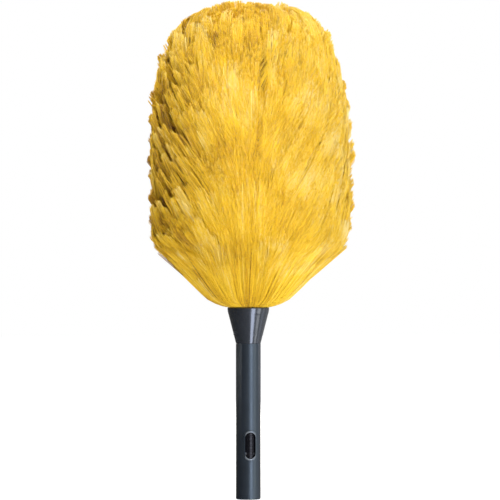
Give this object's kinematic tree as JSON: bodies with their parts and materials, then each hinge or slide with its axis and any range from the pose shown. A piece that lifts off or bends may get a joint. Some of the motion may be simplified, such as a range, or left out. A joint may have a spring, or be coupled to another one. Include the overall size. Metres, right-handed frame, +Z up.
{
  "type": "feather duster",
  "caption": "Duster head for an extension pole: a full golden fibre pile on a core, a flared grey collar, and a grey socket tube with a push-button pole latch in an obround window.",
  "frame": {"origin": "centre of the socket tube's lower end face, where the extension pole goes in", "axes": "+Z up the tool from the socket's mouth to the crown of the pile, -Y towards the window and its release button, +X to the right seen from the window side"},
  "size_m": [0.202, 0.202, 0.508],
  "materials": {
    "tube_plastic": "satin",
    "collar_plastic": "gloss",
    "latch_plastic": "matte",
    "button_plastic": "gloss",
    "core_plastic": "matte",
    "catch_steel": "satin",
    "spring_steel": "satin",
    "screw_steel": "satin",
    "core_wood": "matte",
    "binding_cord": "matte",
    "pile_fibre": "matte"
  },
  "bodies": {
    "duster": {"socket_tube": "tube_plastic", "collar": "collar_plastic", "base_disc": "core_plastic", "core_rod": "core_wood", "core_washer": "screw_steel", "core_screw": "screw_steel", "crown_cap": "core_plastic", "crown_screw": "screw_steel", "latch_housing": "latch_plastic", "binding_1": "binding_cord", "binding_2": "binding_cord", "binding_3": "binding_cord", "binding_4": "binding_cord", "binding_5": "binding_cord", "binding_6": "binding_cord", "binding_7": "binding_cord", "binding_8": "binding_cord", "binding_9": "binding_cord", "binding_crown": "binding_cord", "pile_tier_1": "pile_fibre", "pile_tier_2": "pile_fibre", "pile_tier_3": "pile_fibre", "pile_tier_4": "pile_fibre", "pile_tier_5": "pile_fibre", "pile_tier_6": "pile_fibre", "pile_tier_7": "pile_fibre", "pile_tier_8": "pile_fibre", "pile_tier_9": "pile_fibre", "pile_crown": "pile_fibre"},
    "latch": {"release_button": "button_plastic", "catch_plate": "catch_steel", "button_spring": "spring_steel"}
  },
  "joints": [
    {"name": "latch_press", "type": "slide", "parent": "duster", "child": "latch", "axis": [0, 1, 0], "range_m": [0, 0.0026], "stiffness_N_per_m": 600, "deforming": ["button_spring"]}
  ]
}
